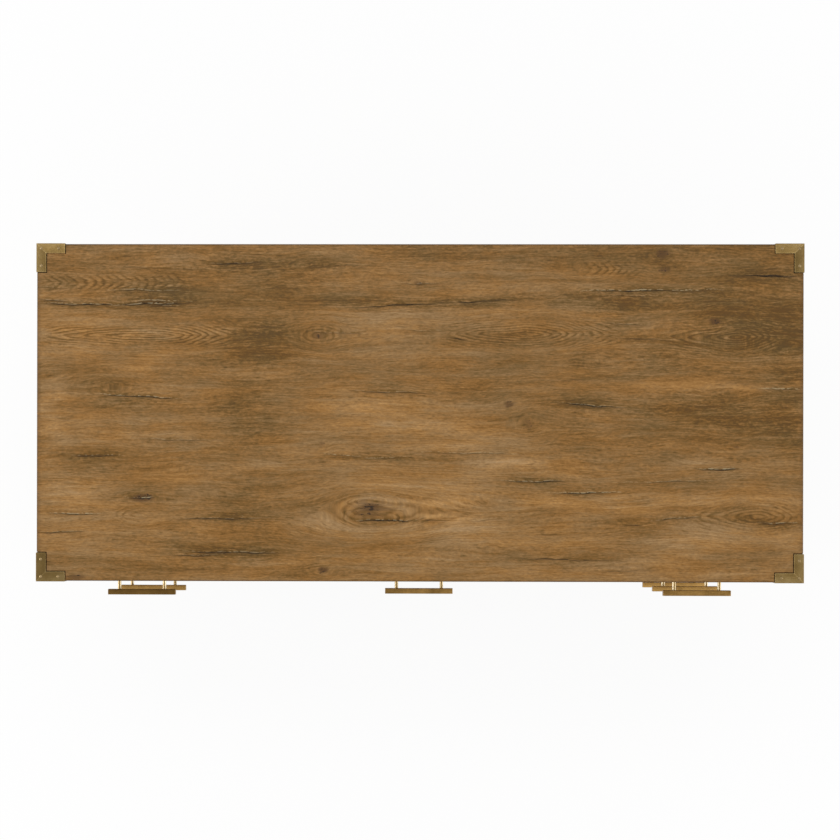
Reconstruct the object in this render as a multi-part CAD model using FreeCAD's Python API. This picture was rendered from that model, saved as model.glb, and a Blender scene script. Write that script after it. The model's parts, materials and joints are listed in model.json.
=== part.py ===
import FreeCAD
import Part
import math
import os

# Campaign desk: a flat top bound with brass corners, on two drawer pedestals that stand on short tapered legs.
# The left pedestal has a box drawer over a file drawer, the right one three box drawers, the kneehole one
# shallow drawer. Every drawer runs on a pair of three-part telescopic slides and has one brass bar pull.
# Lengths are millimetres. X runs along the desk, Y from front to back, Z up.
# The origin is on the floor, under the middle of the whole outline, pulls and corner brackets included.

# Desktop
desk_width = 1676.0
desk_depth = 738.0
desk_height = 762.0
top_thickness = 30.0
top_edge_radius = 2.0

# Brass corner brackets and their pins
bracket_arm = 63.5
bracket_band = 22.0
bracket_sheet = 2.4
bracket_let_in = 0.8
bracket_gap = 1.6
bracket_edge_radius = 0.8
pin_reach = 49.0
pin_head = 5.6
pin_dome = 1.2
pin_shank = 2.6
pin_length = 16.0

# Pedestals and kneehole
pedestal_width = 414.0
end_overhang = 4.0
back_overhang = 4.0
case_setback = 1.0
kneehole_setback = 4.5
row_pitch = 152.0
row_count = 3
side_thickness = 20.0
base_thickness = 20.0
back_thickness = 12.0
rail_thickness = 16.0
rail_depth = 70.0
modesty_thickness = 16.0
modesty_inset = 30.0
housing_share = 0.3
board_edge_radius = 1.0

# Dowels between sides and bases, screws from the rails into the desktop
dowel_diameter = 8.0
dowel_in_base = 12.0
dowel_in_side = 18.0
dowel_place_shares = (0.12, 0.5, 0.88)
screw_shank = 4.0
screw_head = 9.0
screw_head_height = 3.0
screw_in_top = 18.0
screw_inset = 60.0

# Legs
leg_top_width = 48.0
leg_foot_width = 34.0
leg_inset = 6.0
leg_edge_radius = 2.0
cap_height = 46.0
cap_wall = 1.4
glide_diameter = 24.0
glide_height = 5.0
glide_pin = 4.0
glide_pin_length = 16.0
bolt_diameter = 8.0
bolt_in_leg = 40.0
bolt_in_base_share = 0.7

# Drawers
front_thickness = 20.0
front_gap = 2.0
front_edge_radius = 1.2
box_wall = 12.0
box_floor_gap = 12.0
box_head_gap = 22.0
box_tail_room = 10.0
bottom_thickness = 6.0
groove_rise = 10.0
groove_share = 0.5
tail_pitch = 34.0
fewest_tails = 2
tail_root_share = 0.46
tail_end_share = 0.64

# Telescopic slides: case channel, middle member and drawer runner, one inside the other
slide_space = 12.7
slide_height = 45.0
slide_sheet = 1.2
slide_play = 0.4
slide_tip_gap = 2.2
slide_rise = 40.0
slide_front_gap = 4.0
pedestal_slide_length = 500.0
kneehole_slide_length = 400.0

# Pulls
pull_bar_length = 152.4
pull_bar_section = 12.2
pull_bar_edge = 0.8
pull_centres = 101.6
pull_post_diameter = 8.0
pull_post_length = 26.0
pull_thread_depth = 12.0
pull_screw_shank = 4.0
pull_screw_head = 8.0
pull_screw_head_height = 2.5

# Hanging rails of the file drawer
file_rail_thickness = 3.0
file_rail_height = 16.0
file_rail_rise = 4.0

# Cuts run this far past a face, and edges are matched to this tolerance
overrun = 5.0
match_tolerance = 0.001

# Places that follow from the sizes above
under_top = desk_height - top_thickness
base_top = under_top - row_count * row_pitch
base_bottom = base_top - base_thickness
case_half = desk_width / 2 - end_overhang
kneehole_half = case_half - pedestal_width
housing_depth = side_thickness * housing_share
bracket_proud = bracket_sheet - bracket_let_in
pull_projection = pull_post_length + pull_bar_section
desk_front = (pull_projection - case_setback - desk_depth - bracket_proud) / 2
desk_back = desk_front + desk_depth
case_front = desk_front + case_setback
kneehole_front = desk_front + kneehole_setback
case_back = desk_back - back_overhang
cavity_back = case_back - back_thickness
modesty_back = case_back - modesty_inset
modesty_front = modesty_back - modesty_thickness
leg_foot = glide_height + cap_wall

LEFT, RIGHT = -1, 1
FRONT, BACK = -1, 1
SIDE_NAMES = {LEFT: "left", RIGHT: "right"}
DEPTH_NAMES = {FRONT: "front", BACK: "back"}

# Drawer name: which pedestal (zero is the kneehole), its first row, and how many rows it fills
DRAWERS = {
    "left_top_drawer": (LEFT, 0, 1),
    "left_file_drawer": (LEFT, 1, 2),
    "centre_drawer": (0, 0, 1),
    "right_top_drawer": (RIGHT, 0, 1),
    "right_middle_drawer": (RIGHT, 1, 1),
    "right_bottom_drawer": (RIGHT, 2, 1),
}


def block(x_span, y_span, z_span):
    """Box between two places on each axis, given in either order."""
    spans = (x_span, y_span, z_span)
    low = FreeCAD.Vector(*[min(span) for span in spans])
    sizes = [max(span) - min(span) for span in spans]
    return Part.makeBox(*sizes, low)


def rod(diameter, start, end):
    """Round bar from one point to another."""
    run = end - start
    return Part.makeCylinder(diameter / 2, run.Length, start, run)


def grown(span, amount):
    """The span made longer by the same amount at both ends."""
    return (min(span) - amount, max(span) + amount)


def prism(points, run):
    """Solid swept from a closed flat outline."""
    outline = Part.makePolygon(points + points[:1])
    return Part.Face(outline).extrude(run)


def eased(solid, radius, chosen):
    """Round the edges whose two ends both pass the test."""
    edges = [edge for edge in solid.Edges if all(chosen(vertex.Point) for vertex in edge.Vertexes)]
    return solid.makeFillet(radius, edges)


def near(value, place):
    return abs(value - place) < match_tolerance


def cut_all(solid, tools):
    for tool in tools:
        solid = solid.cut(tool)
    return solid


def save(node, solids):
    shape = solids[0] if len(solids) == 1 else Part.makeCompound(solids)
    shape.exportStep("parts/" + node + ".step")


# Corner brackets

def bracket_places(end, depth):
    """Outer corner of a bracket, at one end (left or right) and the front or back of the desktop."""
    x_out = end * (desk_width / 2 + bracket_proud)
    y_out = desk_front - bracket_proud if depth == FRONT else desk_back + bracket_proud
    return x_out, y_out, desk_height + bracket_proud


def bracket_shape(end, depth, gap, outward):
    """Two arms on the top and two flanges down its edges, grown by a gap inwards and an overrun outwards."""
    x_out, y_out, z_out = bracket_places(end, depth)
    x_arm = (x_out + end * outward, x_out - end * (bracket_arm + gap))
    y_arm = (y_out + depth * outward, y_out - depth * (bracket_arm + gap))
    x_band = (x_arm[0], x_out - end * (bracket_band + gap))
    y_band = (y_arm[0], y_out - depth * (bracket_band + gap))
    z_arm = (z_out + outward, z_out - bracket_sheet)
    z_flange = (z_out + outward, z_out - bracket_band - gap)
    x_flange = (x_arm[0], x_out - end * bracket_sheet)
    y_flange = (y_arm[0], y_out - depth * bracket_sheet)
    plates = [
        block(x_arm, y_band, z_arm),
        block(x_band, y_arm, z_arm),
        block(x_arm, y_flange, z_flange),
        block(x_flange, y_arm, z_flange),
    ]
    return plates[0].multiFuse(plates[1:]).removeSplitter()


def bracket_pins(end, depth):
    """Three domed pins: one in the corner, one towards the tip of each arm."""
    x_out, y_out, z_out = bracket_places(end, depth)
    middle = bracket_band / 2
    places = [(middle, middle), (pin_reach, middle), (middle, pin_reach)]
    return [domed_pin(FreeCAD.Vector(x_out - end * u, y_out - depth * v, z_out)) for u, v in places]


def domed_pin(seat):
    """Pin with a low domed head, its head seated at the given point."""
    head = pin_head / 2
    shank = pin_shank / 2
    ball = (head ** 2 + pin_dome ** 2) / (2 * pin_dome)
    half_turn = math.asin(head / ball) / 2
    rim = FreeCAD.Vector(head, 0, 0)
    crown = FreeCAD.Vector(0, 0, pin_dome)
    shoulder = FreeCAD.Vector(ball * math.sin(half_turn), 0, pin_dome - ball + ball * math.cos(half_turn))
    tip = FreeCAD.Vector(0, 0, -pin_length)
    run = Part.makePolygon([
        crown,
        tip,
        FreeCAD.Vector(shank, 0, -pin_length),
        FreeCAD.Vector(shank, 0, 0),
        rim,
    ])
    dome = Part.Arc(rim, shoulder, crown).toShape()
    profile = Part.Face(Part.Wire(run.Edges + [dome]))
    pin = profile.revolve(FreeCAD.Vector(), FreeCAD.Vector(0, 0, 1), 360)
    pin.translate(seat)
    return pin


def corner_bracket(end, depth, pins):
    x_out, y_out, z_out = bracket_places(end, depth)
    plate = bracket_shape(end, depth, 0, 0)

    def on_outer_edge(point):
        faces = (near(point.x, x_out), near(point.y, y_out), near(point.z, z_out))
        return sum(faces) > 1

    return cut_all(eased(plate, bracket_edge_radius, on_outer_edge), pins)


def make_brackets():
    """Write the four brackets and their pins, and return what they take out of the desktop."""
    all_pins = []
    pockets = []
    for end in (LEFT, RIGHT):
        for depth in (FRONT, BACK):
            pins = bracket_pins(end, depth)
            node = "corner_bracket_" + DEPTH_NAMES[depth] + "_" + SIDE_NAMES[end]
            save(node, [corner_bracket(end, depth, pins)])
            all_pins += pins
            pockets.append(bracket_shape(end, depth, bracket_gap, overrun))
    save("corner_bracket_pins", all_pins)
    return pockets + all_pins


def make_desktop(cuts):
    x_span = (-desk_width / 2, desk_width / 2)
    board = block(x_span, (desk_front, desk_back), (under_top, desk_height))
    board = board.makeFillet(top_edge_radius, board.Edges)
    save("desktop", [cut_all(board, cuts)])


# Pedestal cases

def row_opening(row, rows):
    """Bottom and top of a drawer opening that starts at a row and fills a number of rows."""
    return (under_top - (row + rows) * row_pitch, under_top - row * row_pitch - rail_thickness)


def pedestal_opening(end):
    """Clear width between a pedestal's two sides."""
    return (end * (case_half - side_thickness), end * (kneehole_half + side_thickness))


def rail_heights(end):
    """Tops of a pedestal's front rails, from the desktop down: one above each drawer."""
    return [under_top - row * row_pitch for place, row, rows in DRAWERS.values() if place == end]


def pedestal_rails(end):
    """Front rails above each drawer and one rear rail under the desktop, their ends housed in the sides."""
    x_span = grown(pedestal_opening(end), housing_depth)
    front_y = (case_front, case_front + rail_depth)
    rear_y = (cavity_back - rail_depth, cavity_back)
    rails = [block(x_span, front_y, (top - rail_thickness, top)) for top in rail_heights(end)]
    return rails + [block(x_span, rear_y, (under_top - rail_thickness, under_top))]


def kneehole_rails():
    """Front rail above the kneehole drawer and rear rail against the modesty panel."""
    x_span = grown((-kneehole_half, kneehole_half), housing_depth)
    z_span = (under_top - rail_thickness, under_top)
    front = block(x_span, (kneehole_front, kneehole_front + rail_depth), z_span)
    rear = block(x_span, (modesty_front - rail_depth, modesty_front), z_span)
    return [front, rear]


def modesty_panel():
    x_span = grown((-kneehole_half, kneehole_half), housing_depth)
    return block(x_span, (modesty_front, modesty_back), (base_top, under_top))


def back_panel(end):
    """Back of a pedestal, set into rebates in both sides."""
    x_span = grown(pedestal_opening(end), housing_depth)
    return block(x_span, (cavity_back, case_back), (base_top, under_top))


def side_middles(end):
    """Middle of the thickness of a pedestal's outer and inner sides."""
    return (end * (case_half - side_thickness / 2), end * (kneehole_half + side_thickness / 2))


def case_dowels(end):
    """Upright dowels that fix a pedestal's two sides on its base."""
    dowels = []
    for x in side_middles(end):
        for share in dowel_place_shares:
            y = case_front + share * (cavity_back - case_front)
            low = FreeCAD.Vector(x, y, base_top - dowel_in_base)
            high = FreeCAD.Vector(x, y, base_top + dowel_in_side)
            dowels.append(rod(dowel_diameter, low, high))
    return dowels


def side_board(middle_x, cuts):
    """Upright side, its front and back corners eased, with its housings, rebate and dowel holes."""
    x_span = (middle_x - side_thickness / 2, middle_x + side_thickness / 2)
    board = block(x_span, (case_front, case_back), (base_top, under_top))
    board = eased(board, board_edge_radius, lambda point: near(point.y, case_front))
    return cut_all(board, cuts)


def base_panel(end, cuts):
    """Bottom board under both sides, with its outer edges eased."""
    board = block((end * case_half, end * kneehole_half), (case_front, case_back), (base_bottom, base_top))
    board = eased(board, board_edge_radius, lambda point: near(point.z, base_bottom))
    return cut_all(board, cuts)


def desktop_screws(rails):
    """Two screws up through each rail that lies under the desktop."""
    screws = []
    for rail in rails:
        box = rail.BoundBox
        if not near(box.ZMax, under_top):
            continue
        for x in (box.XMin + screw_inset, box.XMax - screw_inset):
            low = FreeCAD.Vector(x, box.Center.y, under_top - rail_thickness)
            high = FreeCAD.Vector(x, box.Center.y, under_top + screw_in_top)
            under = low - FreeCAD.Vector(0, 0, screw_head_height)
            screws.append(rod(screw_shank, low, high).fuse(rod(screw_head, under, low)).removeSplitter())
    return screws


def make_cases():
    """Write both pedestals, the kneehole rails and the modesty panel, and return the screws for the desktop."""
    kneehole = kneehole_rails()
    modesty = modesty_panel()
    rails = {LEFT: pedestal_rails(LEFT), RIGHT: pedestal_rails(RIGHT)}
    dowels = {LEFT: case_dowels(LEFT), RIGHT: case_dowels(RIGHT)}
    screws = desktop_screws(rails[LEFT] + rails[RIGHT] + kneehole)
    bolts = make_legs()
    for end in (LEFT, RIGHT):
        name = SIDE_NAMES[end]
        back = back_panel(end)
        cuts = rails[end] + dowels[end] + [back]
        outer_x, inner_x = side_middles(end)
        save(name + "_outer_side", [side_board(outer_x, cuts)])
        save(name + "_inner_side", [side_board(inner_x, cuts + kneehole + [modesty])])
        save(name + "_back_panel", [back])
        save(name + "_base_panel", [base_panel(end, dowels[end] + bolts)])
        save(name + "_drawer_rails", [cut_all(rail, screws) for rail in rails[end]])
    save("kneehole_rails", [cut_all(rail, screws) for rail in kneehole])
    save("modesty_panel", [modesty])
    save("case_dowels", dowels[LEFT] + dowels[RIGHT])
    save("desktop_screws", screws)
    return screws


# Legs

def leg_centres(end):
    """Plan places of a pedestal's four legs."""
    from_edge = leg_inset + leg_top_width / 2
    x_places = (end * (case_half - from_edge), end * (kneehole_half + from_edge))
    y_places = (case_front + from_edge, case_back - from_edge)
    return [FreeCAD.Vector(x, y, 0) for x in x_places for y in y_places]


def leg_width(height):
    """Width of the tapered leg at a height above the floor."""
    share = (height - leg_foot) / (base_bottom - leg_foot)
    return leg_foot_width + share * (leg_top_width - leg_foot_width)


def tapered_post(centre, low, high, skin):
    """Square post that follows the leg's taper between two heights, thicker all round by a skin."""
    rings = []
    for height in (low, high):
        half = leg_width(height) / 2 + skin
        corners = [(-half, -half), (half, -half), (half, half), (-half, half)]
        points = [centre + FreeCAD.Vector(x, y, height) for x, y in corners]
        rings.append(Part.makePolygon(points + points[:1]))
    post = Part.makeLoft(rings, True, True)
    upright = [edge for edge in post.Edges if abs(edge.Vertexes[0].Z - edge.Vertexes[-1].Z) > match_tolerance]
    return post.makeFillet(leg_edge_radius, upright)


def glide(centre):
    """Nailed glide: a disc on the floor with a pin up into the leg."""
    disc = rod(glide_diameter, centre, centre + FreeCAD.Vector(0, 0, glide_height))
    pin_end = centre + FreeCAD.Vector(0, 0, glide_height + glide_pin_length)
    return disc.fuse(rod(glide_pin, centre, pin_end)).removeSplitter()


def leg_bolt(centre):
    """Hanger bolt between leg and base."""
    low = centre + FreeCAD.Vector(0, 0, base_bottom - bolt_in_leg)
    high = centre + FreeCAD.Vector(0, 0, base_bottom + base_thickness * bolt_in_base_share)
    return rod(bolt_diameter, low, high)


def make_legs():
    """Write the legs with their caps, glides and bolts, and return the bolts."""
    caps = []
    glides = []
    bolts = []
    for end in (LEFT, RIGHT):
        legs = []
        for centre in leg_centres(end):
            wood = tapered_post(centre, leg_foot, base_bottom, 0)
            shell = tapered_post(centre, glide_height, glide_height + cap_height, cap_wall)
            foot = glide(centre)
            bolt = leg_bolt(centre)
            caps.append(cut_all(shell, [wood, foot]))
            legs.append(cut_all(wood, [foot, bolt]))
            glides.append(foot)
            bolts.append(bolt)
        save(SIDE_NAMES[end] + "_legs", legs)
    save("leg_caps", caps)
    save("foot_glides", glides)
    save("leg_bolts", bolts)
    return bolts


# Drawers

def slide_member(case_x, toward, web, tip, half_height, z, y_span):
    """Channel section along Y. Web and tip are distances from the case face towards the drawer."""
    near_web, far_web = web
    lip = half_height - slide_sheet
    outline = [
        (near_web, -half_height), (tip, -half_height), (tip, -lip), (far_web, -lip),
        (far_web, lip), (tip, lip), (tip, half_height), (near_web, half_height),
    ]
    points = [FreeCAD.Vector(case_x + toward * u, y_span[0], z + v) for u, v in outline]
    return prism(points, FreeCAD.Vector(0, y_span[1] - y_span[0], 0))


def slide(case_x, toward, z, y_span):
    """Case channel, middle member and drawer runner of one slide, each nested in the one before."""
    step = slide_sheet + slide_play
    half = slide_height / 2
    open_tip = slide_space - slide_tip_gap
    channel = slide_member(case_x, toward, (0, slide_sheet), open_tip, half, z, y_span)
    middle = slide_member(case_x, toward, (step, step + slide_sheet), open_tip, half - step, z, y_span)
    runner_web = (slide_space, slide_space - slide_sheet)
    runner = slide_member(case_x, toward, runner_web, 2 * step, half - 2 * step, z, y_span)
    return channel, middle, runner


def dovetails(x_span, root_y, end_y, z_span):
    """Row of tails on the end of a drawer side, wider at their ends."""
    height = max(z_span) - min(z_span)
    count = max(fewest_tails, round(height / tail_pitch))
    pitch = height / count
    root = pitch * tail_root_share / 2
    end = pitch * tail_end_share / 2
    tails = []
    for number in range(count):
        z = min(z_span) + (number + 1 / 2) * pitch
        outline = [(root_y, z - root), (end_y, z - end), (end_y, z + end), (root_y, z + root)]
        points = [FreeCAD.Vector(x_span[0], y, height) for y, height in outline]
        tails.append(prism(points, FreeCAD.Vector(x_span[1] - x_span[0], 0, 0)))
    return tails


def drawer_box(x_span, y_span, z_span, screws):
    """Two sides dovetailed into a front and a back board, round a bottom held in grooves."""
    left, right = x_span
    y_inner = grown(y_span, -box_wall)
    x_inner = grown(x_span, -box_wall)
    sides = []
    all_tails = []
    for wall in ((left, x_inner[0]), (x_inner[1], right)):
        tails = dovetails(wall, y_inner[0], y_span[0], z_span) + dovetails(wall, y_inner[1], y_span[1], z_span)
        sides.append(block(wall, y_inner, z_span).multiFuse(tails).removeSplitter())
        all_tails += tails
    front = cut_all(block(x_span, (y_span[0], y_inner[0]), z_span), all_tails + screws)
    back = cut_all(block(x_span, (y_inner[1], y_span[1]), z_span), all_tails)
    groove = box_wall * groove_share
    floor = min(z_span) + groove_rise
    bottom = block(grown(x_inner, groove), grown(y_inner, groove), (floor, floor + bottom_thickness))
    return [board.cut(bottom) for board in sides + [front, back]] + [bottom]


def drawer_front(x_span, face_y, z_span, screws):
    board = block(x_span, (face_y, face_y + front_thickness), z_span)
    return cut_all(eased(board, front_edge_radius, lambda point: near(point.y, face_y)), screws)


def pull_screws(middle_x, face_y, z):
    """Machine screws from inside the drawer, through box and front, into the posts."""
    screws = []
    for step in (LEFT, RIGHT):
        x = middle_x + step * pull_centres / 2
        seat = FreeCAD.Vector(x, face_y + front_thickness + box_wall, z)
        tip = FreeCAD.Vector(x, face_y - pull_thread_depth, z)
        head_end = seat + FreeCAD.Vector(0, pull_screw_head_height, 0)
        screw = rod(pull_screw_shank, tip, seat).fuse(rod(pull_screw_head, seat, head_end))
        screws.append(screw.removeSplitter())
    return screws


def pull(middle_x, face_y, z, screws):
    """Square bar carried by two round posts."""
    half = pull_bar_section / 2
    x_span = grown((middle_x, middle_x), pull_bar_length / 2)
    bar_y = face_y - pull_post_length
    bar = block(x_span, (bar_y - pull_bar_section, bar_y), grown((z, z), half))
    bar = bar.makeFillet(pull_bar_edge, bar.Edges)
    posts = []
    for step in (LEFT, RIGHT):
        x = middle_x + step * pull_centres / 2
        post = rod(pull_post_diameter, FreeCAD.Vector(x, face_y, z), FreeCAD.Vector(x, bar_y, z))
        posts.append(cut_all(post, screws))
    return [bar] + posts


def file_rails(x_span, y_span, top):
    """Two flat rails inside the file drawer's sides, for hanging folders."""
    left, right = grown(x_span, -box_wall)
    y_inner = grown(y_span, -box_wall)
    z_span = (top + file_rail_rise - file_rail_height, top + file_rail_rise)
    places = ((left, left + file_rail_thickness), (right - file_rail_thickness, right))
    return [block(place, y_inner, z_span) for place in places]


def make_drawer(name, end, row, rows):
    """Write one drawer's pieces and return the two slide channels that stay on the case."""
    opening_x = pedestal_opening(end) if end else (-kneehole_half, kneehole_half)
    opening_z = row_opening(row, rows)
    face_y = case_front if end else kneehole_front
    slide_length = pedestal_slide_length if end else kneehole_slide_length
    middle_x = sum(opening_x) / 2
    pull_z = sum(row_opening(row, 1)) / 2
    box_front = face_y + front_thickness
    box_x = grown(opening_x, -slide_space)
    box_y = (box_front, box_front + slide_front_gap + slide_length + box_tail_room)
    box_z = (opening_z[0] + box_floor_gap, opening_z[1] - box_head_gap)
    slide_y = (box_front + slide_front_gap, box_front + slide_front_gap + slide_length)
    slide_z = box_z[0] + slide_rise
    left = slide(min(opening_x), RIGHT, slide_z, slide_y)
    right = slide(max(opening_x), LEFT, slide_z, slide_y)
    screws = pull_screws(middle_x, face_y, pull_z)
    front = drawer_front(grown(opening_x, -front_gap), face_y, grown(opening_z, -front_gap), screws)
    save(name + "_front", [front])
    save(name + "_box", drawer_box(box_x, box_y, box_z, screws))
    save(name + "_pull", pull(middle_x, face_y, pull_z, screws) + screws)
    save(name + "_slide_middles", [left[1], right[1]])
    save(name + "_slide_runners", [left[2], right[2]])
    if rows > 1:
        save("file_hanging_rails", file_rails(box_x, box_y, box_z[1]))
    return [left[0], right[0]]


def make_drawers():
    """Write every drawer, then the slide channels of each part of the desk."""
    channels = {LEFT: [], 0: [], RIGHT: []}
    for name, (end, row, rows) in DRAWERS.items():
        channels[end] += make_drawer(name, end, row, rows)
    save("left_slide_channels", channels[LEFT])
    save("kneehole_slide_channels", channels[0])
    save("right_slide_channels", channels[RIGHT])


os.makedirs("parts", exist_ok=True)
desktop_cuts = make_brackets() + make_cases()
make_desktop(desktop_cuts)
make_drawers()
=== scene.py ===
import bpy
import functools
import json
import math
import numpy as np
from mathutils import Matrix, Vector

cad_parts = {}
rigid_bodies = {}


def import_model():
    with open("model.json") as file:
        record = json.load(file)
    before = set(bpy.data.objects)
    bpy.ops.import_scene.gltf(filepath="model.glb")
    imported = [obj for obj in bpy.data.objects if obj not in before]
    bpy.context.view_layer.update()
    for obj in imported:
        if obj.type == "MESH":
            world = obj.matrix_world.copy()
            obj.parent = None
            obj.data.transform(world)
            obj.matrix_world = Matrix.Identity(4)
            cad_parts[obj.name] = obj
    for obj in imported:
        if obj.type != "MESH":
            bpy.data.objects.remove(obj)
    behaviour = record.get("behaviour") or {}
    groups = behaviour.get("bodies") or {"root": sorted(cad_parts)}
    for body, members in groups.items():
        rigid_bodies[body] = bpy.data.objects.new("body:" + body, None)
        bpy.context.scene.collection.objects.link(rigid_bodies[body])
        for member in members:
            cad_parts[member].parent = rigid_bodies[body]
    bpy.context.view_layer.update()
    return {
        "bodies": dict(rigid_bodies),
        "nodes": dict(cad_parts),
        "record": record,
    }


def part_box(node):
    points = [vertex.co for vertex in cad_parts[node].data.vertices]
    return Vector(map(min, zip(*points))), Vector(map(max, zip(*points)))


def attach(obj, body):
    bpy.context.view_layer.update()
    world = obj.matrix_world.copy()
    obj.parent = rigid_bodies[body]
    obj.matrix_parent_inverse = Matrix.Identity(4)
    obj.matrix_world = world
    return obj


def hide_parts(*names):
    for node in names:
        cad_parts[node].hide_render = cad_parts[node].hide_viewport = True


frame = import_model()
mm = 0.001


# small tools

def linear(hexCode):  # sRGB hex to the linear colour that a socket takes
    part = np.array([int(hexCode[i:i + 2], 16) for i in (1, 3, 5)]) / 255
    part = np.where(part <= 0.04045, part / 12.92, ((part + 0.055) / 1.055) ** 2.4)
    return (*part.tolist(), 1.0)


def addNode(tree, kind, inputs=(), out=0, stops=(), **settings):
    # one node with its settings and links. Its kind can carry an operation, as in "Math ADD", inputs go by
    # number or by name, and stops are the places and colours of a ramp. Colours can be hex codes
    kind, _, operation = kind.partition(" ")
    node = tree.nodes.new("ShaderNode" + kind)
    if operation:
        node.operation = operation
    for name, value in settings.items():
        setattr(node, name, value)
    for key, value in inputs.items() if isinstance(inputs, dict) else enumerate(inputs):
        if isinstance(value, bpy.types.NodeSocket):
            tree.links.new(value, node.inputs[key])
        else:
            node.inputs[key].default_value = linear(value) if isinstance(value, str) else value
    if stops:
        elements = node.color_ramp.elements
        elements.remove(elements[1])
        elements[0].position = stops[0][0]
        for place, _ in stops[1:]:
            elements.new(place)
        for element, (_, colour) in zip(elements, stops):
            element.color = linear(colour) if isinstance(colour, str) else colour
    return node.outputs[out] if node.outputs else node


smooth = {"interpolation_type": "SMOOTHSTEP"}  # a Map Range that eases in and out
rgba = {"data_type": "RGBA", "out": 2}  # a Mix of two colours, in sockets 6 and 7


def emptied(block):  # clears a material or world of nodes, and gives the call that puts new ones in it
    block.use_nodes = True
    block.node_tree.nodes.clear()
    return functools.partial(addNode, block.node_tree)


def newMaterial(name):  # a material, the call that puts nodes in it, and its points in the object's frame
    material = bpy.data.materials.new(name)
    put = emptied(material)
    return material, put, put("TexCoord", out="Object")


noiseSteps = np.array([1.0, 1.7, 2.3])  # a place in the noise moves along all three axes


def noises(put, point, layers, seed=0.0):
    # noise drawn out along X, by name: mm along, mm across, place in the noise, detail, roughness
    sockets = {}
    for name, (along, across, place, detail, rough) in layers.items():
        spot = {"Vector": point, "Location": (seed + place) * noiseSteps,
                "Scale": (1 / (along * mm), 1 / (across * mm), 1 / (across * mm))}
        grain = {"Vector": put("Mapping", spot), "Scale": 1.0, "Detail": detail, "Roughness": rough}
        sockets[name] = put("TexNoise", grain)
    return sockets


def weighted(put, start, weights, layers):  # start plus each layer, counted from its middle, times its weight
    total = start - sum(weights.values()) / 2
    for name, weight in weights.items():
        total = put("Math MULTIPLY_ADD", (layers[name], weight, total))
    return total


def surfaced(material, put, look, colour, layers):  # closes a material with its roughness, relief and shader
    sockets = {"Base Color": colour, **look["shader"]}
    sockets["Roughness"] = weighted(put, look["roughness"], look["roughWeights"], layers)
    if "reliefWeights" in look:
        relief = weighted(put, 0.5, look["reliefWeights"], layers)
        dents = {"Strength": look["bump"], "Distance": look["bumpDepth"] * mm, "Height": relief}
        sockets["Normal"] = put("Bump", dents)
    put("OutputMaterial", (put("BsdfPrincipled", sockets),))
    return material


# materials

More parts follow.
